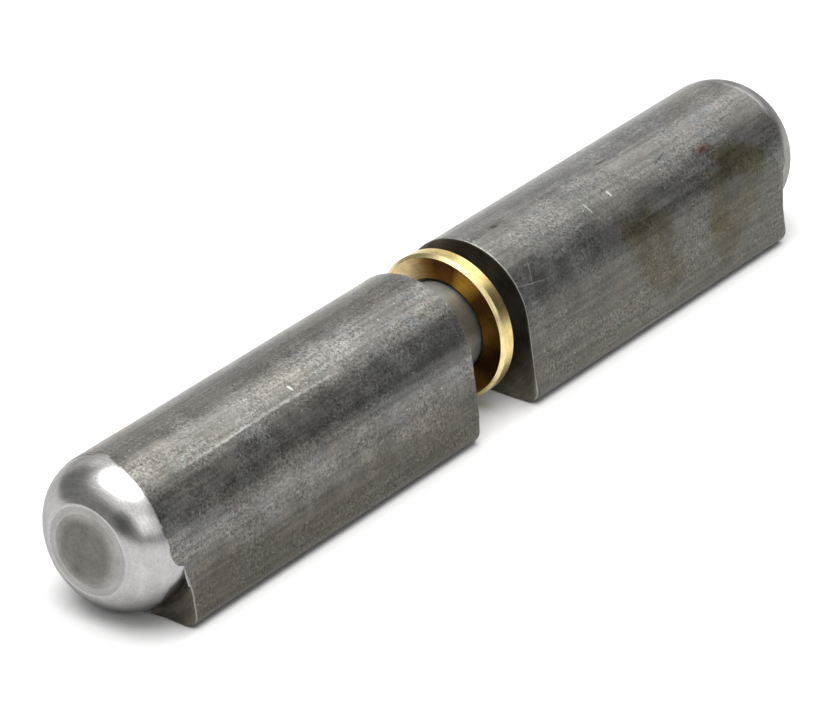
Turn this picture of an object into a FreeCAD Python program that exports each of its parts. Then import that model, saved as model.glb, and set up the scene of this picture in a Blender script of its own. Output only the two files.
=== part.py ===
import FreeCAD, Part
import math
import os
import Sketcher

# Lift off hinge of drawn teardrop bar, in millimetres.
# It lies on its side: +X runs along the pin axis, from the pin half to the socket half,
# +Z is up, and the origin is the centre of the hinge's footprint on the surface below it.
# The two halves stand a little apart, with the loose washer on the pin between them.

SIZES = {
    # the teardrop section of the bar that both halves are cut from
    "barrel_radius": 8.0,
    "tail_overhang": 1.1,
    "tip_radius": 1.4,
    # the length of the tail, and the turned nose beyond it
    "tail_length": 45.3,
    "nose_straight": 0.4,
    "nose_radius": 5.2,
    "nose_flat_radius": 4.75,
    "turning_cut": 0.05,
    "dish_rim": 0.9,
    "dish_depth": 0.12,
    # the small relief at the root of the shoulder
    "relief_depth": 0.35,
    "relief_height": 0.7,
    # broken edges at the sawn end and the mouths of the bores
    "end_chamfer": 0.2,
    "pin_mouth_chamfer": 0.3,
    "socket_mouth_chamfer": 0.6,
    # the pin, seated in one half and running in the other: what is left round it is the wall
    "barrel_wall": 3.0,
    "pin_seated": 25.0,
    "pin_standing": 27.0,
    "pin_chamfer": 0.8,
    "pin_seat_clearance": 0.01,
    "pin_run_clearance": 0.05,
    "bore_end_room": 1.5,
    "drill_point_angle": 118.0,
    # the washer
    "washer_thickness": 2.0,
    "washer_rim_inset": 0.05,
    "washer_bore_clearance": 0.25,
    "washer_chamfer": 0.35,
    "washer_bore_chamfer": 0.15,
    # how far the pieces stand apart
    "pin_half_gap": 5.1,
    "socket_half_gap": 2.3,
}

# expressions that more than one feature is driven by
FACE_GAP = "(Sizes.pin_half_gap + Sizes.washer_thickness + Sizes.socket_half_gap)"
TURNED_RADIUS = "(Sizes.barrel_radius - Sizes.turning_cut)"
NOSE_RISE = "(Sizes.nose_flat_radius - " + TURNED_RADIUS + " + Sizes.nose_radius)"
NOSE_START = "(Sizes.tail_length + Sizes.nose_straight)"
NOSE_SWEEP = "(90 deg - asin(" + NOSE_RISE + " / Sizes.nose_radius))"
NOSE_WAIST = "(" + TURNED_RADIUS + " - Sizes.nose_radius * (1 - cos(" + NOSE_SWEEP + " / 2)))"
HALF_LENGTH = "(" + NOSE_START + " + sqrt(Sizes.nose_radius ^ 2 - " + NOSE_RISE + " ^ 2))"
PIN_RADIUS = "(Sizes.barrel_radius - Sizes.barrel_wall)"
SEAT_RADIUS = "(" + PIN_RADIUS + " + Sizes.pin_seat_clearance)"
SOCKET_RADIUS = "(" + PIN_RADIUS + " + Sizes.pin_run_clearance)"
SOCKET_DEPTH = "(Sizes.pin_standing - Sizes.washer_thickness + Sizes.bore_end_room)"

# how near two places are to count as one
SAME_PLACE = 1e-4

TOWARDS_PIN_HALF = -1
TOWARDS_SOCKET_HALF = 1


def add_sheet(doc):
    """Put the driving sizes in the spreadsheet, one per row, under their own names."""
    sheet = doc.addObject("Spreadsheet::Sheet", "Sizes")
    for row, (name, value) in enumerate(SIZES.items(), start=1):
        sheet.set("A%d" % row, name)
        sheet.set("B%d" % row, str(value))
        sheet.setAlias("B%d" % row, name)
    doc.recompute()


def worth(obj, expression):
    """What an expression of the sheet's sizes comes to."""
    return float(obj.evalExpression(expression))


def add_body(doc, name, place_x):
    """A body whose own X axis is the pin axis, placed along it by an expression."""
    body = doc.addObject("PartDesign::Body", name)
    body.Label = name
    body.setExpression("Placement.Base.x", place_x)
    body.setExpression("Placement.Base.y", "Sizes.tail_overhang / 2")
    body.setExpression("Placement.Base.z", "Sizes.barrel_radius")
    return body


def add_sketch(body, name, plane_role):
    """A sketch on one of the body's own origin planes."""
    sketch = body.newObject("Sketcher::SketchObject", name)
    plane = [f for f in body.Origin.OriginFeatures if f.Role == plane_role][0]
    sketch.AttachmentSupport = [(plane, "")]
    sketch.MapMode = "FlatFace"
    return sketch


def drive(sketch, kind, places, name, expression):
    """Add a dimension to a sketch under a name, driven by an expression."""
    value = worth(sketch, expression)
    index = sketch.addConstraint(Sketcher.Constraint(kind, *places, value))
    sketch.renameConstraint(index, name)
    sketch.setExpression("Constraints." + name, expression)


def tie(sketch, kind, *places):
    sketch.addConstraint(Sketcher.Constraint(kind, *places))


def point(x, y):
    return FreeCAD.Vector(x, y, 0)


def add_line(sketch, start, end):
    return sketch.addGeometry(Part.LineSegment(point(*start), point(*end)))


def add_arc(sketch, centre, radius, start, end):
    circle = Part.Circle(point(*centre), FreeCAD.Vector(0, 0, 1), radius)
    return sketch.addGeometry(Part.ArcOfCircle(circle, start, end))


def teardrop_sketch(body, name):
    """The bar's section: a round with one flank flat below and one nearly upright,
    both tangent to the round and meeting in a rounded tip."""
    reach_text = "Sizes.barrel_radius + Sizes.tail_overhang - Sizes.tip_radius"
    radius = SIZES["barrel_radius"]
    tip = SIZES["tip_radius"]
    reach = worth(body, reach_text)
    drop = radius - tip
    # the upright flank touches the round and the tip where both have this normal
    flank = math.atan2(-drop, -reach) - math.acos(drop / math.hypot(reach, drop))
    bottom = math.radians(-90)
    normal = (math.cos(flank), math.sin(flank))
    on_round = (radius * normal[0], radius * normal[1])
    on_tip = (tip * normal[0] - reach, tip * normal[1] - drop)

    sketch = add_sketch(body, name, "YZ_Plane")
    barrel = add_arc(sketch, (0, 0), radius, bottom, flank)
    upright = add_line(sketch, on_round, on_tip)
    tip_arc = add_arc(sketch, (-reach, -drop), tip, flank, bottom)
    flat = add_line(sketch, (-reach, -radius), (0, -radius))

    tie(sketch, "Tangent", barrel, 2, upright, 1)
    tie(sketch, "Tangent", upright, 2, tip_arc, 1)
    tie(sketch, "Tangent", tip_arc, 2, flat, 1)
    tie(sketch, "Tangent", flat, 2, barrel, 1)
    tie(sketch, "Coincident", barrel, 3, -1, 1)
    tie(sketch, "Horizontal", flat)
    drive(sketch, "Radius", [barrel], "barrel_radius", "Sizes.barrel_radius")
    drive(sketch, "Radius", [tip_arc], "tip_radius", "Sizes.tip_radius")
    drive(sketch, "DistanceX", [tip_arc, 3, barrel, 3], "tip_reach", reach_text)
    return sketch


def turning_sketch(body, name, way):
    """What the lathe takes off the end of the bar: the tail down to a shoulder with a
    small relief at its root, the rounded nose, and the shallow dish in its flat."""
    x_text = {
        "shoulder": "Sizes.tail_length",
        "relief": "Sizes.tail_length - Sizes.relief_depth",
        "start": NOSE_START,
        "end": HALF_LENGTH,
        "dish": HALF_LENGTH + " - Sizes.dish_depth",
        "clear": HALF_LENGTH + " + Sizes.barrel_radius",
    }
    r_text = {
        "turned": TURNED_RADIUS,
        "relief": TURNED_RADIUS + " + Sizes.relief_height",
        "waist": NOSE_WAIST,
        "flat": "Sizes.nose_flat_radius",
        "rim": "Sizes.nose_flat_radius - Sizes.dish_rim",
        "clear": "2 * Sizes.barrel_radius",
    }
    x = {place: way * worth(body, text) for place, text in x_text.items()}
    r = {place: worth(body, text) for place, text in r_text.items()}
    nose = SIZES["nose_radius"]
    # the nose is round from the straight, above its centre, to the flat, in two equal arcs
    crest = math.radians(90)
    slope = math.asin((r["flat"] - r["turned"] + nose) / nose)
    waist = (crest + slope) / 2
    if way == TOWARDS_SOCKET_HALF:
        upper_sweep = (waist, crest)
        lower_sweep = (slope, waist)
        near, far = 2, 1
    else:
        upper_sweep = (crest, math.pi - waist)
        lower_sweep = (math.pi - waist, math.pi - slope)
        near, far = 1, 2
    centre = (x["start"], r["turned"] - nose)

    sketch = add_sketch(body, name, "XZ_Plane")
    face = add_line(sketch, (x["shoulder"], r["clear"]), (x["shoulder"], r["relief"]))
    relief = add_line(sketch, (x["shoulder"], r["relief"]), (x["relief"], r["turned"]))
    straight = add_line(sketch, (x["relief"], r["turned"]), (x["start"], r["turned"]))
    upper = add_arc(sketch, centre, nose, *upper_sweep)
    lower = add_arc(sketch, centre, nose, *lower_sweep)
    rim = add_line(sketch, (x["end"], r["flat"]), (x["end"], r["rim"]))
    dish = add_line(sketch, (x["end"], r["rim"]), (x["dish"], 0))
    axis = add_line(sketch, (x["dish"], 0), (x["clear"], 0))
    outside = add_line(sketch, (x["clear"], 0), (x["clear"], r["clear"]))
    over = add_line(sketch, (x["clear"], r["clear"]), (x["shoulder"], r["clear"]))

    tie(sketch, "Coincident", face, 2, relief, 1)
    tie(sketch, "Coincident", relief, 2, straight, 1)
    tie(sketch, "Tangent", straight, 2, upper, near)
    tie(sketch, "Coincident", upper, 3, lower, 3)
    tie(sketch, "Coincident", upper, far, lower, near)
    tie(sketch, "Coincident", lower, far, rim, 1)
    tie(sketch, "Coincident", rim, 2, dish, 1)
    tie(sketch, "Coincident", dish, 2, axis, 1)
    tie(sketch, "Coincident", axis, 2, outside, 1)
    tie(sketch, "Coincident", outside, 2, over, 1)
    tie(sketch, "Coincident", over, 2, face, 1)
    for upright in (face, rim, outside):
        tie(sketch, "Vertical", upright)
    for level in (straight, over):
        tie(sketch, "Horizontal", level)
    tie(sketch, "PointOnObject", dish, 2, -1)
    tie(sketch, "PointOnObject", axis, 2, -1)

    # distances along the axis count from the sawn end at the sketch's origin
    along = {"shoulder": (face, 2), "relief": (relief, 2), "start": (straight, 2),
             "dish": (dish, 2), "clear": (axis, 2)}
    for place, end in along.items():
        ends = [-1, 1, *end] if way == TOWARDS_SOCKET_HALF else [*end, -1, 1]
        drive(sketch, "DistanceX", ends, place + "_length", x_text[place])
    across = {"relief": (face, 2), "turned": (relief, 2), "waist": (upper, far),
              "flat": (rim, 1), "rim": (rim, 2), "clear": (over, 1)}
    for place, end in across.items():
        drive(sketch, "DistanceY", [-1, 1, *end], place + "_height", r_text[place])
    drive(sketch, "Radius", [upper], "nose_radius", "Sizes.nose_radius")
    return sketch


def rings_sketch(body, name, radii):
    """Circles on the pin axis, each with a name and the expression of its radius."""
    sketch = add_sketch(body, name, "YZ_Plane")
    for label, expression in radii.items():
        circle = Part.Circle(point(0, 0), FreeCAD.Vector(0, 0, 1), worth(body, expression))
        ring = sketch.addGeometry(circle)
        tie(sketch, "Coincident", ring, 3, -1, 1)
        drive(sketch, "Radius", [ring], label, expression)
    return sketch


def add_pad(body, name, sketch, length, way):
    pad = body.newObject("PartDesign::Pad", name)
    pad.Profile = sketch
    pad.Reversed = way == TOWARDS_PIN_HALF
    pad.setExpression("Length", length)
    return pad


def add_turning(body, name, sketch):
    groove = body.newObject("PartDesign::Groove", name)
    groove.Profile = sketch
    groove.ReferenceAxis = (sketch, ["H_Axis"])
    groove.Angle = 360
    return groove


def add_bore(body, name, sketch, radius, depth, way):
    """A blind hole with a drilled point, from the sketch into the bar."""
    bore = body.newObject("PartDesign::Hole", name)
    bore.Profile = sketch
    bore.Threaded = False
    bore.DepthType = "Dimension"
    bore.DrillPoint = "Angled"
    bore.DrillForDepth = False
    bore.Reversed = way == TOWARDS_SOCKET_HALF
    bore.setExpression("Diameter", "2 * " + radius)
    bore.setExpression("Depth", depth)
    bore.setExpression("DrillPointAngle", "Sizes.drill_point_angle")
    return bore


def add_chamfer(body, name, base, wanted, size):
    """Chamfer the edges of the base feature that a test picks."""
    edges = ["Edge%d" % n for n, edge in enumerate(base.Shape.Edges, start=1) if wanted(edge)]
    if not edges:
        raise RuntimeError(name + " finds no edge")
    chamfer = body.newObject("PartDesign::Chamfer", name)
    chamfer.Base = (base, edges)
    chamfer.setExpression("Size", size)
    return chamfer


def is_ring(edge, radius):
    return isinstance(edge.Curve, Part.Circle) and math.isclose(edge.Curve.Radius, radius)


def on_sawn_end(edge):
    """True for an edge in the plane of the sawn end, which is x = 0 in a half's own frame."""
    box = edge.BoundBox
    return max(abs(box.XMin), abs(box.XMax)) < SAME_PLACE


def cut_volume(doc, feature, before):
    """The volume left by a cut, which has to be less than the volume before it."""
    doc.recompute()
    after = feature.Shape.Volume
    if not after < before:
        raise RuntimeError(feature.Name + " cuts nothing")
    return after


def add_half(doc, name, way, bore_radius, bore_depth, mouth_chamfer):
    """One half of the hinge: a length of teardrop bar with a turned nose and a blind bore.
    Its sawn end is at the body's own origin, and it runs from there the way it is told."""
    side = "" if way == TOWARDS_SOCKET_HALF else "-"
    body = add_body(doc, name, side + FACE_GAP + " / 2")

    bar = add_pad(body, name + "_bar", teardrop_sketch(body, name + "_section"),
                  HALF_LENGTH, way)
    doc.recompute()

    nose = add_turning(body, name + "_nose", turning_sketch(body, name + "_turning", way))
    volume = cut_volume(doc, nose, bar.Shape.Volume)

    place = rings_sketch(body, name + "_bore_place", {"bore_radius": bore_radius})
    doc.recompute()
    bore = add_bore(body, name + "_bore", place, bore_radius, bore_depth, way)
    volume = cut_volume(doc, bore, volume)

    radius = worth(body, bore_radius)
    mouth = add_chamfer(body, name + "_mouth", bore,
                        lambda edge: on_sawn_end(edge) and is_ring(edge, radius),
                        mouth_chamfer)
    volume = cut_volume(doc, mouth, volume)

    rim = radius + worth(body, mouth_chamfer)
    outline = add_chamfer(body, name + "_end_edge", mouth,
                          lambda edge: on_sawn_end(edge) and not is_ring(edge, rim),
                          "Sizes.end_chamfer")
    cut_volume(doc, outline, volume)
    return body


def add_pin(doc):
    """The pin: a ground rod with both ends chamfered, seated in the pin half."""
    body = add_body(doc, "hinge_pin", "-" + FACE_GAP + " / 2 - Sizes.pin_seated")
    sketch = rings_sketch(body, "pin_section", {"pin_radius": PIN_RADIUS})
    rod = add_pad(body, "pin_rod", sketch, "Sizes.pin_seated + Sizes.pin_standing",
                  TOWARDS_SOCKET_HALF)
    doc.recompute()
    radius = worth(body, PIN_RADIUS)
    ends = add_chamfer(body, "pin_ends", rod,
                       lambda edge: is_ring(edge, radius), "Sizes.pin_chamfer")
    cut_volume(doc, ends, rod.Shape.Volume)
    return body


def add_washer(doc):
    """The washer: a turned ring that slides on the pin, chamfered on all four edges."""
    body = add_body(doc, "brass_washer", "-" + FACE_GAP + " / 2 + Sizes.pin_half_gap")
    rings = {
        "rim_radius": "Sizes.barrel_radius - Sizes.washer_rim_inset",
        "bore_radius": PIN_RADIUS + " + Sizes.washer_bore_clearance",
    }
    rim_radius, bore_radius = [worth(body, expression) for expression in rings.values()]
    sketch = rings_sketch(body, "washer_section", rings)
    disc = add_pad(body, "washer_disc", sketch, "Sizes.washer_thickness", TOWARDS_SOCKET_HALF)
    doc.recompute()
    rim = add_chamfer(body, "washer_rim", disc,
                      lambda edge: is_ring(edge, rim_radius), "Sizes.washer_chamfer")
    volume = cut_volume(doc, rim, disc.Shape.Volume)
    bore = add_chamfer(body, "washer_bore", rim,
                       lambda edge: is_ring(edge, bore_radius), "Sizes.washer_bore_chamfer")
    cut_volume(doc, bore, volume)
    return body


def check(doc, bodies):
    """Stop if any object failed, or any piece is missing, broken or not one solid."""
    for obj in doc.Objects:
        if "Invalid" in obj.State or "Error" in obj.State:
            raise RuntimeError("%s is %s" % (obj.Name, obj.State))
    for body in bodies:
        shape = body.Shape
        if shape.isNull() or not shape.isValid() or len(shape.Solids) != 1:
            raise RuntimeError(body.Label + " is not one sound solid")


def main():
    doc = FreeCAD.newDocument("lift_off_hinge")
    add_sheet(doc)
    bodies = [
        add_half(doc, "pin_half", TOWARDS_PIN_HALF, SEAT_RADIUS,
                 "Sizes.pin_seated", "Sizes.pin_mouth_chamfer"),
        add_pin(doc),
        add_washer(doc),
        add_half(doc, "socket_half", TOWARDS_SOCKET_HALF, SOCKET_RADIUS,
                 SOCKET_DEPTH, "Sizes.socket_mouth_chamfer"),
    ]
    doc.recompute()
    check(doc, bodies)
    os.makedirs("parts", exist_ok=True)
    for body in bodies:
        body.Shape.exportStep("parts/%s.step" % body.Label)
        box = body.Shape.optimalBoundingBox()
        print("%s volume %.1f box x %.2f %.2f y %.2f %.2f z %.2f %.2f" % (
            body.Label, body.Shape.Volume, box.XMin, box.XMax,
            box.YMin, box.YMax, box.ZMin, box.ZMax))


main()
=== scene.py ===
import math

import bmesh
import bpy
import numpy as np
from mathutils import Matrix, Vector, noise


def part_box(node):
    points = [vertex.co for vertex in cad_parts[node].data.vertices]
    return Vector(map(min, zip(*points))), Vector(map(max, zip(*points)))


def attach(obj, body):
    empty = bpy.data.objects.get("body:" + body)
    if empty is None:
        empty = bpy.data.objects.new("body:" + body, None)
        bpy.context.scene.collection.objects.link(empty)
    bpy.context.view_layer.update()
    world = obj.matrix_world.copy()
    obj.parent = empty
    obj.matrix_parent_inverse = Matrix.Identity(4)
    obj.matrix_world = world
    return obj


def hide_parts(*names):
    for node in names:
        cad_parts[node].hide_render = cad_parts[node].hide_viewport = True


# Looks of the lift off hinge. Places and sizes are in millimetres in the hinge's own frame,
# and become metres where a mesh, a light or the camera is made.

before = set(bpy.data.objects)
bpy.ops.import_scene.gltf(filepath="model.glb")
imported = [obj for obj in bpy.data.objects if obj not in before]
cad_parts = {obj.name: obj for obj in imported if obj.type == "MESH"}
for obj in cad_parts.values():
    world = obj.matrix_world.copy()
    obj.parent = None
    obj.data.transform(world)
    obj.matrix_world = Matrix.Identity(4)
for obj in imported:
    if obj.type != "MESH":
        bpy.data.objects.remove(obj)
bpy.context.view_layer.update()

MM = 0.001


def box_mm(node):
    """A CAD node's lowest and highest corners in millimetres."""
    low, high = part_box(node)
    return np.array(low) / MM, np.array(high) / MM


pin_low, pin_high = box_mm("hinge_pin")
left_low, left_high = box_mm("pin_half")
right_low = box_mm("socket_half")[0]
washer_low, washer_high = box_mm("brass_washer")

# sizes that the boxes of the nodes give
AXIS = (pin_low + pin_high)[1:] / 2
PIN_RADIUS = (pin_high - pin_low)[2] / 2
BARREL_RADIUS = left_high[2] / 2
TAIL_REACH = AXIS[0] - left_low[1]
WASHER_RADIUS = (washer_high - washer_low)[2] / 2
PIN_SEATED = left_high[0] - pin_low[0]

# the drawn bar: the tail's rounded tip, its length up to the shoulder, and its broken edges
TIP_RADIUS = 1.4
TAIL_LENGTH = 45.3
END_EDGE = 0.2
TAIL_EDGE = 0.24
# where the sawn end is worn rounder, from beyond the barrel to the tip, and by how much
TIP_WEAR_FROM, TIP_WEAR_TO = 1.8, 3.2
TIP_WEAR = 0.45

# the drawn skin: where its even steps start and stop, its last uneven ring, and where it has
# settled to a level SKIN_DEPTH below the bar's outline; then the stretch, fineness and depth
# of its waves and its grain
SKIN_FROM, SKIN_TO = 1.0, TAIL_LENGTH - 0.6
SKIN_LAST, SKIN_SETTLED = TAIL_LENGTH - 0.45, TAIL_LENGTH - 0.3
SKIN_DEPTH = 0.025
WAVE_STRETCH = (0.35, 1, 1)
WAVE_SCALE, WAVE_DEPTH = 0.35, 0.035
GRAIN_SCALE, GRAIN_DEPTH = 2.2, 0.02

# the turned nose, its flat and the dish in the flat
NOSE_START = 45.7
NOSE_RADIUS = 5.2
FLAT_RADIUS = 4.75
FLAT_EDGE = 0.14
TURNED_RADIUS = BARREL_RADIUS - 0.05
DISH_RIM = 0.9
DISH_LIP = 0.015
DISH_DEPTH = 0.12
# how far off the bar's own axis the two noses were turned, along y and z, and the share of
# a nose's round over which it comes onto its own axis
PIN_HALF_OFFSET, SOCKET_HALF_OFFSET = (-0.331, 0.077), (-0.10, 0.05)
NOSE_SETTLES = 0.8

# the least depth that the lathe took off the bar's round
LEAST_CUT = 0.10
# how far the shoulder leans towards the nose where it starts, and up to which height
SHOULDER_LEAN = 0.5
LEAN_HEIGHT = 1.6
# the height from which the shoulder has its own dark face, and the share of a low shoulder
# that its broken edge takes
SHOULDER_FACE_FROM = 0.9
LOW_EDGE_SHARE = 0.4
# the relief at the shoulder's root, and the height of shoulder from which it is cut
RELIEF_DEPTH = 0.35
RELIEF_HEIGHT = 0.7
RELIEF_FROM = 0.2
# where the skin runs on past the shoulder: how ragged its end is and the radius at which
# that is worked out, its thin last strip, and the step from there down to the turning
SKIN_RAGGED = 0.3
RAGGED_RADIUS = 8
LAST_STRIP = 0.1
STEP_DOWN = 0.03

# the bores, the pin and the washer: room round the pin, chamfers and broken edges
SOCKET_DEPTH = 26.5
SEAT_ROOM, SOCKET_ROOM, WASHER_ROOM = 0.01, 0.05, 0.25
SEAT_MOUTH, SOCKET_MOUTH = 0.3, 0.6
DRILL_SLOPE = 1 / math.tan(math.radians(59))
PIN_CHAMFER = 0.8
PIN_EDGE_BULGE = 0.18
WASHER_CHAMFER = 0.35
WASHER_BORE_EDGE = 0.15

# how far apart the points of the meshes lie round and along the bar, and how many columns
# the turned pieces have
AROUND_STEP = 0.24
ALONG_STEP = 0.3
PIN_COLUMNS = 144
WASHER_COLUMNS = 240

# points nearer than this fall together, and edges sharper than this are creases
WELD_DISTANCE = 0.004 * MM
CREASE_ANGLE = math.radians(32)

# the finishes of a half and of the washer, as the numbers of their material slots
SKIN, TURNED, FACE, DISH, EDGE, SAWN, BORE, SHOULDER = range(8)
WASHER_RIM, WASHER_FACE, WASHER_EDGE = range(3)


def placed(name, data):
    """A new object in the scene."""
    thing = bpy.data.objects.new(name, data)
    bpy.context.scene.collection.objects.link(thing)
    return thing


def section():
    """The bar's outline round the pin axis: the angle and the distance of each point."""
    reach = TAIL_REACH - TIP_RADIUS
    drop = BARREL_RADIUS - TIP_RADIUS
    flank = math.atan2(-drop, -reach) - math.acos(drop / math.hypot(reach, drop))
    flank %= 2 * math.pi
    bottom = math.radians(270)

    def arc(centre, radius, start, end):
        count = max(3, round(radius * (end - start) / AROUND_STEP))
        turn = np.linspace(start, end, count, endpoint=False)
        return np.stack([centre[0] + radius * np.cos(turn),
                         centre[1] + radius * np.sin(turn)], 1)

    def line(start, end):
        count = max(2, round(math.dist(start, end) / AROUND_STEP))
        return np.array(start) + np.linspace(0, 1, count, endpoint=False)[:, None] * (
            np.array(end) - np.array(start))

    def on(centre, radius, turn):
        return centre[0] + radius * math.cos(turn), centre[1] + radius * math.sin(turn)

    tip = (-reach, -drop)
    outline = np.concatenate([
        arc((0, 0), BARREL_RADIUS, bottom - 2 * math.pi, flank),
        line(on((0, 0), BARREL_RADIUS, flank), on(tip, TIP_RADIUS, flank)),
        arc(tip, TIP_RADIUS, flank, bottom),
        line((-reach, -BARREL_RADIUS), (0, -BARREL_RADIUS)),
    ])
    return np.arctan2(outline[:, 1], outline[:, 0]), np.hypot(outline[:, 0], outline[:, 1])


def smooth(value, low, high):
    """0 below low, 1 above high, and a smooth step between them."""
    t = np.clip((value - low) / (high - low), 0, 1)
    return t * t * (3 - 2 * t)


def roughen(points, scale, octaves=3):
    """Smooth noise between 0 and 1 at each point, with features about 1 / scale across."""
    return np.array([0.5 + 0.5 * noise.fractal(Vector(p * scale), 1.0, 2.0, octaves)
                     for p in points])


class Surface:
    """A closed surface made of rings of points, which share their columns."""

    def __init__(self, columns):
        self.columns = columns
        self.rings = []
        self.finishes = []

    def ring(self, x, y, z, finish):
        """Add a ring; finish is the material number of the band that ends at it."""
        ones = np.ones(self.columns)
        self.rings.append(np.stack([x * ones, y * ones, z * ones], 1))
        self.finishes.append(finish)

    def build(self, name, materials, flip=False):
        count = self.columns
        points = np.concatenate(self.rings)
        faces = []
        numbers = []
        for band in range(1, len(self.rings)):
            for column in range(count):
                after = (column + 1) % count
                face = [(band - 1) * count + column, (band - 1) * count + after,
                        band * count + after, band * count + column]
                faces.append(face[::-1] if flip else face)
            numbers.extend((self.finishes[band] * np.ones(count)).astype(int))
        mesh = bpy.data.meshes.new(name)
        mesh.from_pydata((points * MM).tolist(), [], faces)
        for material in materials:
            mesh.materials.append(material)
        mesh.polygons.foreach_set("material_index", numbers)
        piece = placed(name, mesh)
        weld(piece)
        return piece


def weld(piece):
    """Join the points that fall together, and shade the surface smooth between creases."""
    work = bmesh.new()
    work.from_mesh(piece.data)
    bmesh.ops.remove_doubles(work, verts=work.verts, dist=WELD_DISTANCE)
    bmesh.ops.dissolve_degenerate(work, edges=work.edges, dist=WELD_DISTANCE / 4)
    bmesh.ops.recalc_face_normals(work, faces=work.faces)
    work.to_mesh(piece.data)
    work.free()
    piece.data.polygons.foreach_set("use_smooth", [True] * len(piece.data.polygons))
    piece.data.set_sharp_from_angle(angle=CREASE_ANGLE)


def nose_profile(steps):
    """Places along the nose's round, from its start to its flat: x from the sawn end, radius."""
    low = math.asin((FLAT_RADIUS - TURNED_RADIUS + NOSE_RADIUS) / NOSE_RADIUS)
    turn = np.linspace(math.pi / 2, low, steps)
    return (NOSE_START + NOSE_RADIUS * np.cos(turn),
            TURNED_RADIUS - NOSE_RADIUS + NOSE_RADIUS * np.sin(turn))


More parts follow.
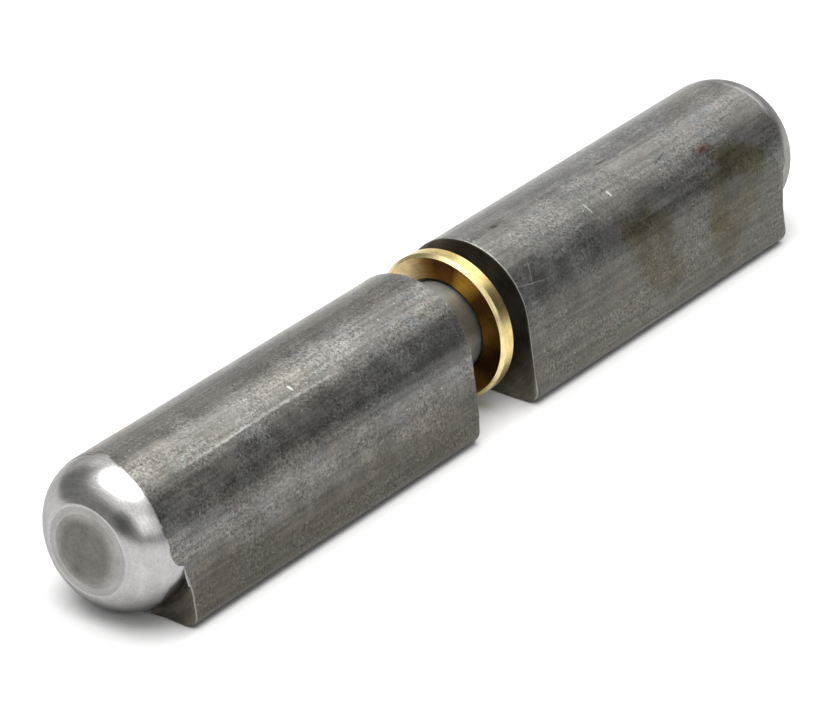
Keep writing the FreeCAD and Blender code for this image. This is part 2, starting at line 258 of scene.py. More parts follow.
class Half:
    """One half of the hinge as the saw and the lathe leave it, in rings round the pin axis
    from the bore's end to the nose's flat. way is 1 or -1, towards its nose along x. The
    nose was turned a little off the bar's own axis, by nose_offset, so the drawn skin runs
    on further on one side."""

    def __init__(self, way, sawn_x, nose_offset):
        self.way = way
        self.sawn_x = sawn_x
        self.nose_offset = nose_offset
        self.turn, self.reach = section()
        self.outward = np.stack([np.cos(self.turn), np.sin(self.turn)], 1)
        self.sideways = np.stack([-np.sin(self.turn), np.cos(self.turn)], 1)
        self.lift = self.outward @ np.array(nose_offset)
        self.slide = self.sideways @ np.array(nose_offset)
        # how far out the lathe leaves each column, and how high its shoulder then stands
        self.held = np.maximum(self.lift, BARREL_RADIUS - LEAST_CUT - TURNED_RADIUS)
        self.cut = TURNED_RADIUS + self.held
        self.height = self.reach - self.cut
        self.shouldered = self.height > 0
        self.relief = np.clip((self.height - RELIEF_FROM) / RELIEF_HEIGHT, 0, 1)
        self.stand = TAIL_LENGTH + SHOULDER_LEAN * (1 - smooth(self.height, 0, LEAN_HEIGHT))
        self.settled = self.reach - SKIN_DEPTH
        self.face = np.where(self.height > SHOULDER_FACE_FROM, SHOULDER, TURNED)
        self.surface = Surface(len(self.turn))

    def either(self, with_shoulder, without):
        """One value for the columns with a shoulder, and one for those without."""
        return np.where(self.shouldered, with_shoulder, without)

    def ring(self, x, radius, finish, settle=0.0):
        """A ring at x from the sawn end; settle slides it round onto the nose's own axis."""
        y = AXIS[0] + self.outward[:, 0] * radius + self.sideways[:, 0] * self.slide * settle
        z = AXIS[1] + self.outward[:, 1] * radius + self.sideways[:, 1] * self.slide * settle
        self.surface.ring(self.sawn_x + self.way * x, y, z, finish)

    def skin_ring(self, x):
        """A ring on the drawn skin, which is slightly uneven."""
        at = np.stack([x * self.way * np.ones(len(self.turn)),
                       self.outward[:, 0] * self.reach, self.outward[:, 1] * self.reach], 1)
        wave = roughen(at * np.array(WAVE_STRETCH), WAVE_SCALE) * WAVE_DEPTH
        grain = roughen(at, GRAIN_SCALE, 2) * GRAIN_DEPTH
        self.ring(x, self.reach - wave - grain, SKIN)

    def flat_ring(self, x, radius, finish):
        """A round ring about the nose's own axis."""
        self.surface.ring(self.sawn_x + self.way * x,
                          AXIS[0] + self.nose_offset[0] + radius * self.outward[:, 0],
                          AXIS[1] + self.nose_offset[1] + radius * self.outward[:, 1], finish)

    def bore(self, radius, depth, mouth):
        """The bore, from the drill's point out to its chamfered mouth."""
        self.ring(depth + radius * DRILL_SLOPE, 0, BORE)
        self.ring(depth + radius * DRILL_SLOPE / 2, radius / 2, BORE)
        self.ring(depth, radius, BORE)
        for x in np.linspace(depth, mouth, 30)[1:]:
            self.ring(x, radius, BORE)
        self.ring(0, radius + mouth, BORE)

    def sawn_face(self, inner):
        """The sawn face and its broken edge, which is worn rounder at the tip of the tail."""
        edge = END_EDGE + TIP_WEAR * smooth(
            self.reach, BARREL_RADIUS + TIP_WEAR_FROM, BARREL_RADIUS + TIP_WEAR_TO)
        for share in np.linspace(0, 1, 14)[1:]:
            self.ring(0, inner + (self.reach - edge - inner) * share, SAWN)
        for degrees, finish in ((20, SAWN), (38, SAWN), (56, EDGE), (72, SKIN), (90, SKIN)):
            angle = math.radians(degrees)
            self.ring(edge * (1 - math.cos(angle)), self.reach - edge * (1 - math.sin(angle)),
                      finish)

    def drawn_bar(self):
        """The bar's drawn skin, nearly up to its shoulder."""
        for x in np.arange(SKIN_FROM, SKIN_TO, ALONG_STEP):
            self.skin_ring(x)
        self.skin_ring(SKIN_LAST)
        self.ring(SKIN_SETTLED, self.settled, SKIN)

    def shoulder(self):
        """The shoulder's broken edge and its face; where there is none, the skin runs on."""
        edge = np.clip(self.height * LOW_EDGE_SHARE, 0, TAIL_EDGE)
        foot = np.minimum(self.settled, self.cut + self.relief * RELIEF_HEIGHT)
        self.ring(self.stand - edge, self.settled, SKIN)
        self.ring(self.stand - edge * 0.3, self.settled - edge * 0.3, self.either(EDGE, SKIN))
        for share in (0, 0.3, 0.65, 1.0):
            radius = self.settled - edge + (foot - self.settled + edge) * share
            self.ring(self.stand, self.either(radius, self.settled),
                      self.either(self.face, SKIN))

    def skin_end(self):
        """Where the relief at the shoulder's root starts, and without a shoulder, where the
        nose's round cuts the skin off."""
        at = np.stack([self.outward[:, 0] * RAGGED_RADIUS, self.outward[:, 1] * RAGGED_RADIUS,
                       self.turn * 0], 1)
        ragged = SKIN_RAGGED * (roughen(at, 0.9, 4) - 0.5)
        drop = np.clip(-self.height, 0, None)
        reached = NOSE_START + np.sqrt(NOSE_RADIUS ** 2 - (NOSE_RADIUS - drop) ** 2) + ragged
        return self.either(self.stand - RELIEF_DEPTH * self.relief,
                           np.maximum(reached, self.stand))

    def run_on(self, skin_end, skin_edge):
        """From the shoulder to skin_end; skin_edge is the finish of the skin's last strip."""
        level = self.either(self.cut, self.settled)
        start = self.either(skin_end, self.stand)
        strip = np.maximum(skin_end - LAST_STRIP, start)
        for share in np.linspace(0, 1, 9):
            self.ring(start + (strip - start) * share, level, self.either(self.face, SKIN))
        self.ring(skin_end, level, self.either(self.face, skin_edge))

    def nose(self, skin_end):
        """The turned nose: its straight, its round and its flat with a shallow dish."""
        nose_x, nose_radius = nose_profile(34)
        last_x = nose_x[-1]
        begin = np.maximum(skin_end + STEP_DOWN, NOSE_START)
        for number, x in enumerate(nose_x):
            along = begin + (x - NOSE_START) * (last_x - begin) / (last_x - NOSE_START)
            settle = smooth(number / (len(nose_x) - 1), 0, NOSE_SETTLES)
            radius = (np.interp(along, nose_x, nose_radius) + self.held
                      + (self.lift - self.held) * settle)
            self.ring(along, np.minimum(radius, self.settled), TURNED, settle)
        for inset, depth, finish in ((FLAT_EDGE, 0.0, TURNED), (DISH_RIM * 0.6, 0.005, FACE),
                                     (DISH_RIM, DISH_LIP, FACE)):
            self.flat_ring(last_x - depth, FLAT_RADIUS - inset, finish)
        for share in np.linspace(0, 1, 12)[1:]:
            self.flat_ring(last_x - DISH_LIP - (DISH_DEPTH - DISH_LIP) * share,
                           (FLAT_RADIUS - DISH_RIM) * (1 - share), DISH)


def half(name, way, sawn_x, bore_radius, bore_depth, mouth, nose_offset, skin_edge, materials):
    """A half as one piece: bored, sawn off, drawn, and turned at its shoulder and nose."""
    shape = Half(way, sawn_x, nose_offset)
    shape.bore(bore_radius, bore_depth, mouth)
    shape.sawn_face(bore_radius + mouth)
    shape.drawn_bar()
    shape.shoulder()
    skin_end = shape.skin_end()
    shape.run_on(skin_end, skin_edge)
    shape.nose(skin_end)
    return shape.surface.build(name, materials, flip=way < 0)


def turned_piece(name, profile, columns, materials):
    """A piece turned about the pin axis, from places (x, radius, finish) along its outline."""
    turn = np.linspace(0, 2 * math.pi, columns, endpoint=False)
    surface = Surface(columns)
    for x, radius, finish in profile:
        surface.ring(x, AXIS[0] + radius * np.cos(turn), AXIS[1] + radius * np.sin(turn), finish)
    return surface.build(name, materials)


def rounded(xa, ra, xb, rb):
    """Places on a broken edge that bulges a little between its two corners."""
    dx, dr = xb - xa, rb - ra
    places = []
    for share in np.linspace(0, 1, 4):
        bulge = PIN_EDGE_BULGE * math.sin(math.pi * share)
        places.append((xa + dx * share - dr * bulge * 0.5,
                       ra + dr * share + dx * bulge * 0.5, 0))
    return places


def spread(xa, ra, xb, rb, count, finish=0):
    """Places evenly along a straight line, without its start."""
    return [(xa + (xb - xa) * s, ra + (rb - ra) * s, finish)
            for s in np.linspace(0, 1, count + 1)[1:]]


class Paint:
    """A material and its nodes, put together step by step."""

    def __init__(self, name):
        self.material = bpy.data.materials.new(name)
        self.material.use_nodes = True
        self.tree = self.material.node_tree
        self.shader = self.tree.nodes["Principled BSDF"]
        place = self.tree.nodes.new("ShaderNodeTexCoord").outputs["Object"]
        self.place = self.vector("MULTIPLY", place, (1 / MM, 1 / MM, 1 / MM))
        centred = self.vector("SUBTRACT", self.place, (0, AXIS[0], AXIS[1]))
        split = self.tree.nodes.new("ShaderNodeSeparateXYZ")
        self.link(centred, split.inputs[0])
        self.x, self.y, self.z = split.outputs
        self.radius = self.math("SQRT", self.math(
            "ADD", self.times(self.y, self.y), self.times(self.z, self.z)))
        self.turn = self.math("ARCTAN2", self.z, self.y)

    def link(self, source, target):
        if isinstance(source, bpy.types.NodeSocket):
            self.tree.links.new(source, target)
        else:
            target.default_value = source

    def vector(self, operation, a, b):
        node = self.tree.nodes.new("ShaderNodeVectorMath")
        node.operation = operation
        self.link(a, node.inputs[0])
        self.link(b, node.inputs[1])
        return node.outputs["Value" if operation in ("DISTANCE", "DOT_PRODUCT") else "Vector"]

    def math(self, operation, a, b=0.0, clamp=False):
        node = self.tree.nodes.new("ShaderNodeMath")
        node.operation = operation
        node.use_clamp = clamp
        self.link(a, node.inputs[0])
        self.link(b, node.inputs[1])
        return node.outputs[0]

    def times(self, a, b):
        return self.math("MULTIPLY", a, b)

    def combine(self, x, y, z):
        node = self.tree.nodes.new("ShaderNodeCombineXYZ")
        for value, socket in zip((x, y, z), node.inputs):
            self.link(value, socket)
        return node.outputs[0]

    def noise(self, scale, detail=2.0, roughness=0.5, stretch=None, place=None):
        """Noise with features about 1 / scale mm across, stretched by stretch along each axis."""
        at = self.place if place is None else place
        if stretch:
            at = self.vector("MULTIPLY", at, stretch)
        node = self.tree.nodes.new("ShaderNodeTexNoise")
        self.link(at, node.inputs["Vector"])
        node.inputs["Scale"].default_value = scale
        node.inputs["Detail"].default_value = detail
        node.inputs["Roughness"].default_value = roughness
        return node.outputs["Fac"]

    def span(self, value, low, high, to_low=0.0, to_high=1.0):
        """Map low..high to to_low..to_high, smoothly, and hold it outside."""
        node = self.tree.nodes.new("ShaderNodeMapRange")
        node.interpolation_type = "SMOOTHSTEP"
        self.link(value, node.inputs["Value"])
        for socket, number in (("From Min", low), ("From Max", high),
                               ("To Min", to_low), ("To Max", to_high)):
            self.link(number, node.inputs[socket])
        return node.outputs[0]

    def vary(self, value, least, most):
        """Map the range that noise mostly has to least..most."""
        return self.span(value, 0.3, 0.7, least, most)

    def mix(self, share, a, b, way="MIX"):
        node = self.tree.nodes.new("ShaderNodeMix")
        node.data_type = "RGBA"
        node.blend_type = way
        self.link(share, node.inputs[0])
        for colour, socket in ((a, node.inputs[6]), (b, node.inputs[7])):
            self.link((*colour, 1) if isinstance(colour, tuple) else colour, socket)
        return node.outputs[2]

    def shade(self, tone, *lights):
        """A tone made lighter or darker by numbers, which are multiplied."""
        light = lights[0]
        for other in lights[1:]:
            light = self.times(light, other)
        return self.mix(1.0, tone, self.combine(light, light, light), "MULTIPLY")

    def stroke(self, start, end, width, ragged):
        """1 along a mark from start to end, falling to 0 at width beside it, ragged in mm."""
        start, along = Vector(start), Vector(end) - Vector(start)
        gap = self.vector("SUBTRACT", self.place, tuple(start))
        share = self.math("DIVIDE", self.vector("DOT_PRODUCT", gap, tuple(along)),
                          along.length_squared, clamp=True)
        nearest = self.vector("MULTIPLY", tuple(along), self.combine(share, share, share))
        away = self.vector("DISTANCE", gap, nearest)
        edge = self.math("SUBTRACT", self.noise(0.5 + 0.3 / width, 4, 0.65), 0.5)
        away = self.math("ADD", away, self.times(edge, 4 * ragged))
        return self.span(away, width, width * 0.35)

    def lobe(self, angle, reach):
        """1 at an angle round the pin axis, falling to 0 at reach to each side, in degrees."""
        away = self.math("SUBTRACT", self.turn, math.radians(angle))
        return self.span(self.math("COSINE", away), math.cos(math.radians(reach)), 1.0)

    def rings(self, scale, around):
        """Noise drawn out round the pin axis, as a lathe's tool leaves it; the smaller around
        is, the longer its rings are."""
        return self.noise(scale, 3, 0.7, place=self.combine(
            self.x, self.radius, self.times(self.turn, around)))

    def bump(self, height, depth_mm):
        node = self.tree.nodes.new("ShaderNodeBump")
        node.inputs["Distance"].default_value = depth_mm * MM
        node.inputs["Strength"].default_value = 1.0
        self.link(height, node.inputs["Height"])
        return node.outputs[0]

    def finish(self, colour, roughness, metallic=1.0, normal=None, anisotropic=0.0):
        for name, value in (("Base Color", colour), ("Roughness", roughness),
                            ("Metallic", metallic), ("Normal", normal)):
            if value is not None:
                self.link(value, self.shader.inputs[name])
        if anisotropic:
            self.shader.inputs["Anisotropic"].default_value = anisotropic
            tangent = self.tree.nodes.new("ShaderNodeTangent")
            tangent.direction_type = "RADIAL"
            tangent.axis = "X"
            self.link(tangent.outputs[0], self.shader.inputs["Tangent"])
        return self.material


# the tones of the drawn skin, and those of its bright flecks and dark pits
GREY_SKIN = (0.143, 0.142, 0.133)
BROWN_SKIN = (0.150, 0.142, 0.127)
GREEN_SKIN = (0.138, 0.142, 0.135)
BARE_FLECK = (0.37, 0.36, 0.345)
DARK_PIT = (0.04, 0.038, 0.034)


def drawn_skin(name, tail, tail_top, marks_and_shading):
    """The drawn bar's dark skin: speckle, calmer patches, streaks along the bar, a tail that
    is darker and browner low down, single marks, and bands of painted highlight and painted
    shade along the bar."""
    paint = Paint(name)
    mottle = paint.noise(0.35, 4, 0.6)
    calm = paint.noise(0.28, 3, 0.55, stretch=(0.6, 1.2, 1.2))
    streak = paint.noise(1.0, 3, 0.6, stretch=(0.06, 2.0, 2.0))
    speckle = paint.math("ADD", paint.times(paint.noise(3.2, 3, 0.7), 0.65),
                         paint.times(paint.noise(7.5, 2, 0.6), 0.35))
    light = paint.span(speckle, 0.33, 0.67, paint.span(calm, 0.4, 0.62, 0.40, 0.74),
                       paint.span(calm, 0.4, 0.62, 1.72, 1.27))
    browner = paint.span(paint.noise(0.12, 3, 0.5, stretch=(0.6, 1, 1)), 0.4, 0.62)
    greener = paint.span(paint.noise(0.4, 2), 0.52, 0.7)
    tint = paint.mix(browner, GREY_SKIN, BROWN_SKIN)
    tint = paint.mix(greener, tint, GREEN_SKIN)
    colour = paint.shade(tint, light, paint.vary(mottle, 0.84, 1.16),
                         paint.vary(streak, 0.80, 1.20))
    flecks = paint.span(paint.noise(2.6, 2, 0.5), 0.69, 0.75)
    colour = paint.mix(flecks, colour, BARE_FLECK)
    pits = paint.span(paint.noise(1.7, 3, 0.6, stretch=(0.6, 1, 1)), 0.32, 0.26)
    colour = paint.mix(paint.times(pits, 0.7), colour, DARK_PIT)
    low = paint.math("ADD", paint.z, paint.times(paint.math("SUBTRACT", mottle, 0.5), 5.0))
    colour = paint.mix(paint.span(low, tail_top, tail_top - 5.0), colour, tail, "MULTIPLY")
    # single marks, and bands of painted highlight and painted shade along the bar
    for start, end, width, ragged, way, tone, strength in marks_and_shading:
        share = paint.times(paint.stroke(start, end, width, ragged), strength)
        colour = paint.mix(share, colour, tone, way)
    height = paint.math("ADD", speckle, paint.times(streak, 0.25))
    return paint.finish(colour, paint.vary(mottle, 0.27, 0.38), 0.74, paint.bump(height, 0.028))


# single marks on the two skins, and bands of painted highlight and painted shade along the
# bars: start, end, width, raggedness, how it is laid on, tone, strength
OLIVE = (0.70, 0.62, 0.41)
PIN_HALF_MARKS_AND_SHADING = [
    # painted highlight: a lighter band along the upper front of the bar
    ((-50.0, -2.6, 15.3), (-20.0, -2.4, 15.4), 2.6, 0.9, "MULTIPLY", (1.28, 1.27, 1.25), 0.8),
    ((-46.0, -4.12, 14.49), (-30.0, -3.97, 14.58), 0.15, 0.24, "MIX", (0.48, 0.47, 0.45), 0.38),
    ((-41.0, -4.10, 14.50), (-36.0, -4.0, 14.56), 0.17, 0.2, "MIX", (0.52, 0.51, 0.49), 0.5),
    ((-31.0, -4.0, 14.56), (-22.5, -4.15, 14.47), 0.13, 0.22, "MIX", (0.46, 0.45, 0.43), 0.4),
    ((-28.75, -3.0, 15.15), (-28.6, -3.4, 14.98), 0.22, 0.05, "MIX", (0.60, 0.59, 0.56), 0.7),
    # painted shade: a darker, slightly warmer band along the back of the bar's top
    ((-50.0, 2.4, 15.8), (-8.0, 2.4, 15.8), 3.4, 0.6, "MULTIPLY", (0.80, 0.765, 0.715), 1.0),
    ((-49.0, 4.6, 14.9), (-44.0, 4.9, 14.7), 1.6, 0.4, "MULTIPLY", (1.25, 1.02, 0.95), 0.8),
    # painted shade: a dark band low on the front of the bar's round
    ((-48.0, -6.9, 10.8), (-6.0, -6.9, 10.8), 2.0, 0.5, "MULTIPLY", (0.72, 0.72, 0.71), 0.9),
]
SOCKET_HALF_MARKS_AND_SHADING = [
    ((41.3, -6.0, 12.6), (46.1, -6.9, 11.0), 2.6, 0.8, "MULTIPLY", OLIVE, 1.0),
    ((38.8, -6.8, 11.2), (38.4, -7.6, 7.6), 2.4, 0.8, "MULTIPLY", OLIVE, 0.8),
    ((37.6, -7.7, 7.0), (39.5, -8.2, 3.9), 2.6, 0.9, "MULTIPLY", OLIVE, 0.7),
    ((41.4, -7.7, 7.0), (44.0, -7.6, 8.4), 3.6, 1.1, "MULTIPLY", OLIVE, 0.6),
    ((23.7, -6.6, 11.5), (28.7, -7.0, 10.7), 2.2, 0.8, "MULTIPLY", OLIVE, 0.75),
    ((29.0, -7.4, 9.1), (30.2, -8.0, 5.0), 2.1, 0.8, "MULTIPLY", OLIVE, 0.5),
    ((24.2, -7.0, 10.2), (25.6, -7.9, 6.0), 2.2, 0.8, "MULTIPLY", OLIVE, 0.5),
    ((26.8, -7.5, 8.6), (28.2, -8.1, 4.8), 3.0, 1.0, "MULTIPLY", OLIVE, 0.55),
    ((38.3, -4.65, 14.1), (40.6, -4.55, 14.2), 0.7, 0.5, "MULTIPLY", (0.66, 0.49, 0.42), 0.9),
    ((39.0, -4.65, 14.1), (39.5, -4.55, 14.2), 0.4, 0.28, "MULTIPLY", (0.40, 0.28, 0.23), 0.9),
    # painted shade: a darker band along the upper front of the bar
    ((6.0, -3.4, 14.9), (48.0, -3.4, 14.9), 2.6, 0.6, "MULTIPLY", (0.76, 0.76, 0.75), 0.9),
    # painted shade: a dark band low on the front of the bar's round
    ((6.0, -7.2, 10.0), (48.0, -7.2, 10.0), 2.8, 0.6, "MULTIPLY", (0.72, 0.72, 0.71), 0.9),
    # painted highlight: a lighter band along the top of the bar
    ((6.0, 1.0, 16.0), (48.0, 1.0, 16.0), 1.8, 0.5, "MULTIPLY", (1.18, 1.18, 1.18), 0.8),
    ((3.9, -5.7, 12.9), (8.8, -6.3, 12.1), 0.10, 0.03, "MIX", (0.44, 0.44, 0.42), 0.55),
    ((8.0, -4.8, 14.0), (6.9, -6.2, 12.3), 0.10, 0.03, "MIX", (0.44, 0.44, 0.42), 0.5),
    ((19.9, -2.9, 15.3), (20.1, -4.1, 14.5), 0.14, 0.04, "MIX", (0.50, 0.49, 0.465), 0.5),
    ((23.9, -3.3, 15.0), (24.0, -3.7, 14.8), 0.25, 0.09, "MIX", (0.52, 0.51, 0.49), 0.65),
    ((32.4, -3.4, 15.0), (34.7, -2.9, 15.2), 0.15, 0.16, "MIX", (0.03, 0.028, 0.025), 0.85),
    ((26.6, 0.2, 16.0), (28.8, 0.1, 16.0), 0.15, 0.16, "MIX", (0.04, 0.038, 0.034), 0.8),
    ((8.9, 0.3, 16.0), (9.2, 0.3, 16.0), 0.4, 0.1, "MIX", (0.04, 0.038, 0.034), 0.8),
]


def turned_steel(name, tone, roughness, dull=0.0, middle=None):
    """Bright steel off the lathe: rings about the pin axis, and a few faint smudges. Its
    tone becomes middle near the axis, if that is given."""
    paint = Paint(name)
    if middle:
        tone = paint.mix(paint.span(paint.radius, 2.4, 4.1), middle, tone)
    rings = paint.rings(3.4, 0.4)
    cloud = paint.noise(0.5, 4, 0.6)
    grain = paint.noise(5.0, 3, 0.6)
    colour = paint.shade(tone, paint.vary(rings, 0.93, 1.07),
                         paint.vary(cloud, 0.9 - dull, 1.06), paint.vary(grain, 0.90, 1.07))
    rough = paint.math("ADD", roughness, paint.times(cloud, 0.10))
    height = paint.math("ADD", rings, paint.times(grain, 0.35))
    paint.shader.inputs["Specular Tint"].default_value = (0.6, 0.6, 0.6, 1)
    return paint.finish(colour, rough, 1.0, paint.bump(height, 0.006))


def sawn_steel(name, tone, low=1.9):
    """A dark sawn or bored face, with the tool's fine rings still on it. low is how much
    lighter it is painted at the foot of the tail, near the floor: painted light where low is
    above 1, painted shade where it is below 1."""
    paint = Paint(name)
    rings = paint.noise(4.0, 2, 0.6, place=paint.combine(paint.radius, paint.x, paint.turn))
    cloud = paint.noise(0.45, 4, 0.6)
    colour = paint.shade(tone, paint.vary(rings, 0.84, 1.14), paint.vary(cloud, 0.7, 1.25),
                         paint.span(paint.z, -2.0, -6.5, 1.0, low))
    return paint.finish(colour, 0.4, 0.85, paint.bump(rings, 0.009))


# painted shade on the pin's side, between the washer and the pin half: a darker band for the
# dark things that the pin reflects there
PIN_SHADE_START, PIN_SHADE_END = (-9.0, -3.55, 10.9), (3.0, -3.55, 10.9)
PIN_SHADE_WIDTH, PIN_SHADE_RAGGED, PIN_SHADE_STRENGTH = 3.2, 0.3, 0.9
PIN_SHADE_TONE = (0.42, 0.41, 0.37)


def ground_steel(name):
    """The pin's ground surface: very fine rings, lightly oiled, and painted shade on one side."""
    paint = Paint(name)
    rings = paint.noise(1.0, 3, 0.7, place=paint.combine(
        paint.times(paint.x, 9.0), paint.times(paint.turn, 1.2), 0.0))
    cloud = paint.noise(0.5, 3, 0.6)
    colour = paint.shade((0.21, 0.222, 0.20), paint.vary(rings, 0.9, 1.1),
                         paint.vary(cloud, 0.82, 1.12))
    # painted shade: a darker band along the pin's side, for the dark reflections there
    pin_shade = paint.stroke(PIN_SHADE_START, PIN_SHADE_END, PIN_SHADE_WIDTH, PIN_SHADE_RAGGED)
    colour = paint.mix(paint.times(pin_shade, PIN_SHADE_STRENGTH), colour, PIN_SHADE_TONE, "MULTIPLY")
    return paint.finish(colour, 0.42, 0.5, paint.bump(rings, 0.003))


# brass in the painted dark of its own reflections, brass made pale by a painted highlight,
# and its tarnish
BRASS_GROUND = (0.19, 0.074, 0.02)
BRASS_PAINTED_HIGHLIGHT = (0.67, 0.54, 0.30)
BRASS_TARNISH = (0.13, 0.075, 0.025)
LEAST_SHEEN = 0.06


def turned_brass(name, tone, roughness, sheen=()):
    """Turned brass: rings about the pin axis, and a few tarnished spots. Where sheen gives
    angles with their reach and strength, tone shows only there as painted sheen, on a ground
    of painted dark reflection, with a pale painted highlight at 40 degrees round the pin."""
    paint = Paint(name)
    rings = paint.rings(6.0, 0.3)
    cloud = paint.noise(0.7, 3, 0.6)
    shown = tone
    if sheen:
        total = LEAST_SHEEN
        for angle, reach, strength in sheen:
            total = paint.math("ADD", paint.times(paint.lobe(angle, reach), strength), total)
        # painted sheen on a ground of painted dark reflection
        shown = paint.mix(total, BRASS_GROUND, tone)
        # painted highlight: a pale sector of the face at 40 degrees round the pin
        shown = paint.mix(paint.times(paint.lobe(40, 40), 0.8), shown, BRASS_PAINTED_HIGHLIGHT)
    colour = paint.shade(shown, paint.vary(rings, 0.88, 1.12), paint.vary(cloud, 0.82, 1.1))
    spots = paint.span(paint.noise(1.6, 3, 0.6), 0.66, 0.74)
    colour = paint.mix(paint.times(spots, 0.6), colour, BRASS_TARNISH)
    return paint.finish(colour, roughness, 1.0, paint.bump(rings, 0.005), 0.5 if sheen else 0.0)


def plain_floor():
    paint = Paint("pale_floor")
    cloud = paint.noise(0.01, 2)
    colour = paint.mix(cloud, (0.66, 0.66, 0.66), (0.67, 0.67, 0.667))
    return paint.finish(colour, 0.6, 0.0)


def build_halves():
    bright = turned_steel("turned_nose", (0.41, 0.405, 0.397), 0.18)
    dull = turned_steel("dull_nose", (0.37, 0.364, 0.353), 0.34, 0.15)
    flat = turned_steel("nose_flat", (0.32, 0.312, 0.30), 0.34)
    dish = turned_steel("dished_flat", (0.305, 0.297, 0.28), 0.4, 0.12, (0.16, 0.152, 0.136))
    burr = turned_steel("worn_edge", (0.26, 0.252, 0.235), 0.4)
    # the sawn ends and bores get painted light low down near the floor, the shoulder painted
    # shade there
    sawn = sawn_steel("sawn_end", (0.066, 0.060, 0.047))
    bore = sawn_steel("bored_steel", (0.26, 0.25, 0.235))
    shoulder = sawn_steel("turned_shoulder", (0.120, 0.102, 0.084), 0.9)
    left_skin = drawn_skin("pin_half_skin", (0.52, 0.475, 0.405), 1.0, PIN_HALF_MARKS_AND_SHADING)
    right_skin = drawn_skin("socket_half_skin", (0.66, 0.645, 0.595), 4.5, SOCKET_HALF_MARKS_AND_SHADING)
    left = half("pin_half_steel", -1, left_high[0],
                PIN_RADIUS + SEAT_ROOM, PIN_SEATED, SEAT_MOUTH, PIN_HALF_OFFSET, SKIN,
                [left_skin, bright, flat, dish, burr, sawn, bore, shoulder])
    right = half("socket_half_steel", 1, right_low[0],
                 PIN_RADIUS + SOCKET_ROOM, SOCKET_DEPTH, SOCKET_MOUTH, SOCKET_HALF_OFFSET, EDGE,
                 [right_skin, dull, dull, dull, burr, sawn, bore, shoulder])
    for piece, node in ((left, "pin_half"), (right, "socket_half")):
        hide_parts(node)
        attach(piece, node)


def build_pin():
    low, high = pin_low[0], pin_high[0]
    inner = PIN_RADIUS - PIN_CHAMFER
    profile = [(low, 0, 0)] + spread(low, 0, low, inner, 4)
    profile += rounded(low, inner, low + PIN_CHAMFER, PIN_RADIUS)
    profile += spread(low + PIN_CHAMFER, PIN_RADIUS, high - PIN_CHAMFER, PIN_RADIUS, 100)
    profile += rounded(high - PIN_CHAMFER, PIN_RADIUS, high, inner)
    profile += spread(high, inner, high, 0, 4)
    piece = turned_piece("ground_pin", profile, PIN_COLUMNS, [ground_steel("ground_pin_steel")])
    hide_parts("hinge_pin")
    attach(piece, "pin_half")


# where the washer's turned faces shine: the angle round the pin, its reach, the strength
WASHER_SHEEN = [(119, 17, 0.95), (165, 20, 0.40), (62, 26, 0.45), (228, 22, 0.6),
                (20, 30, 0.6), (285, 20, 0.5), (335, 16, 0.35)]


def build_washer():
    low, high = washer_low[0], washer_high[0]
    bore, rim = PIN_RADIUS + WASHER_ROOM, WASHER_RADIUS
    inner, outer = bore + WASHER_BORE_EDGE, rim - WASHER_CHAMFER
    profile = [(low + WASHER_BORE_EDGE, bore, WASHER_EDGE)]
    profile += spread(low + WASHER_BORE_EDGE, bore, low, inner, 2, WASHER_FACE)
    profile += spread(low, inner, low, outer, 14, WASHER_FACE)
    profile += spread(low, outer, low + WASHER_CHAMFER, rim, 3, WASHER_EDGE)
    profile += spread(low + WASHER_CHAMFER, rim, high - WASHER_CHAMFER, rim, 10, WASHER_RIM)
    profile += spread(high - WASHER_CHAMFER, rim, high, outer, 3, WASHER_EDGE)
    profile += spread(high, outer, high, inner, 14, WASHER_FACE)
    profile += spread(high, inner, high - WASHER_BORE_EDGE, bore, 2, WASHER_FACE)
    profile += spread(high - WASHER_BORE_EDGE, bore, low + WASHER_BORE_EDGE, bore, 8,
                      WASHER_FACE)
    piece = turned_piece("brass_ring", profile, WASHER_COLUMNS, [
        turned_brass("washer_rim", (0.73, 0.57, 0.235), 0.31),
        turned_brass("washer_face", (0.62, 0.315, 0.045), 0.30, WASHER_SHEEN),
        turned_brass("washer_edge", (0.73, 0.60, 0.32), 0.26)])
    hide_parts("brass_washer")
    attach(piece, "washer")


# how far the floor reaches from the hinge, in metres
FLOOR_REACH = 4.0


def build_floor():
    mesh = bpy.data.meshes.new("floor")
    corners = [(x * FLOOR_REACH, y * FLOOR_REACH, 0)
               for x, y in ((-1, -1), (1, -1), (1, 1), (-1, 1))]
    mesh.from_pydata(corners, [], [(0, 1, 2, 3)])
    mesh.materials.append(plain_floor())
    floor = placed("floor", mesh)


def toward(azimuth, elevation):
    """The direction at an azimuth from +Y towards +X, and an elevation, in degrees."""
    azimuth, elevation = math.radians(azimuth), math.radians(elevation)
    return Vector((math.sin(azimuth) * math.cos(elevation),
                   math.cos(azimuth) * math.cos(elevation), math.sin(elevation)))


def softbox(name, direction, distance, size, radiance, shape):
    """An area light of a size (wide, high) in metres, seen from the hinge in a direction."""
    light = bpy.data.lights.new(name, "AREA")
    light.shape = shape
    light.size, light.size_y = size
    area = size[0] * size[1] * (math.pi / 4 if shape == "ELLIPSE" else 1)
    light.energy = radiance * math.pi * area
    lamp = placed(name, light)
    lamp.location = direction * distance
    lamp.rotation_euler = direction.to_track_quat("Z", "Y").to_euler()


# the studio's walls as the hinge sees them: the direction of each patch, the angles from
# its middle where it is full and where it ends, and its radiance
STUDIO_GREY = 0.45
STUDIO_PATCHES = [
    (toward(-30, 25), 25, 60, 0.33),
    (toward(32, 8), 6, 26, 0.92),
    (toward(33, 38), 8, 22, 1.2),
    (toward(-130, 46), 10, 38, 1.4),
    (toward(-108, 16), 10, 26, 0.13),
    (toward(138, 14), 20, 44, 0.03),
    (toward(88, 43), 13, 26, 2.25),
    (toward(-70, 80), 30, 50, 1.35),
]


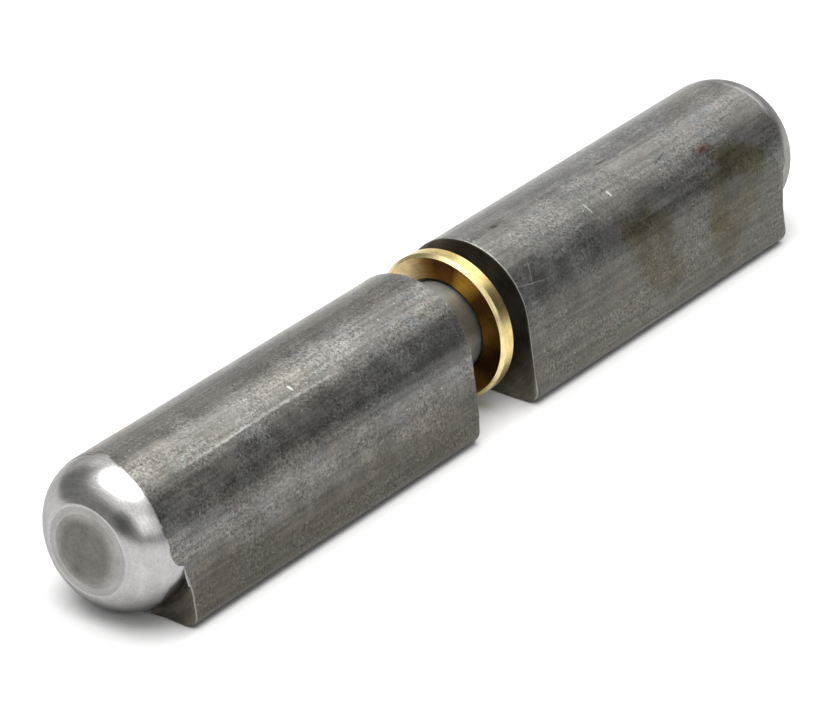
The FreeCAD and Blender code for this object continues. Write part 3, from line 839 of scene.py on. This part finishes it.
def build_world():
    world = bpy.data.worlds.new("studio")
    bpy.context.scene.world = world
    world.use_nodes = True
    tree = world.node_tree
    place = tree.nodes.new("ShaderNodeTexCoord").outputs["Generated"]
    level = STUDIO_GREY
    for direction, full, ends, radiance in STUDIO_PATCHES:
        dot = tree.nodes.new("ShaderNodeVectorMath")
        dot.operation = "DOT_PRODUCT"
        tree.links.new(place, dot.inputs[0])
        dot.inputs[1].default_value = direction
        share = tree.nodes.new("ShaderNodeMapRange")
        share.interpolation_type = "SMOOTHSTEP"
        share.inputs["From Min"].default_value = math.cos(math.radians(ends))
        share.inputs["From Max"].default_value = math.cos(math.radians(full))
        tree.links.new(dot.outputs["Value"], share.inputs["Value"])
        blend = tree.nodes.new("ShaderNodeMix")
        tree.links.new(share.outputs[0], blend.inputs[0])
        if isinstance(level, float):
            blend.inputs[2].default_value = level
        else:
            tree.links.new(level, blend.inputs[2])
        blend.inputs[3].default_value = radiance
        level = blend.outputs[0]
    background = tree.nodes["Background"]
    background.inputs["Color"].default_value = (1, 1, 1, 1)
    tree.links.new(level, background.inputs["Strength"])


def build_lights():
    build_world()
    softbox("overhead_softbox", toward(-55, 83), 1.0, (1.14, 1.14), 4.6, "ELLIPSE")
    softbox("window", toward(-154, 24), 1.5, (1.1, 0.62), 0.95, "RECTANGLE")


# the photograph's own view, found from the ends, the washer and the long edges: its place,
# its turn from +Y towards +X and its tilt down in degrees, its lens and its film's width
CAMERA_PLACE = (-392.64, -293.49, 270.82)
CAMERA_YAW, CAMERA_PITCH = 52.963, 28.538
CAMERA_LENS, CAMERA_FILM = 236.63, 36.0


def build_camera():
    yaw, pitch = math.radians(CAMERA_YAW), math.radians(CAMERA_PITCH)
    data = bpy.data.cameras.new("camera")
    data.sensor_width = CAMERA_FILM
    data.lens = CAMERA_LENS
    data.clip_start = 0.01
    camera = placed("camera", data)
    camera.location = Vector(CAMERA_PLACE) * MM
    camera.rotation_euler = (math.pi / 2 - pitch, 0, -yaw)
    bpy.context.scene.camera = camera
    bpy.context.scene.view_settings.view_transform = "Standard"


build_halves()
build_pin()
build_washer()
build_floor()
build_lights()
build_camera()
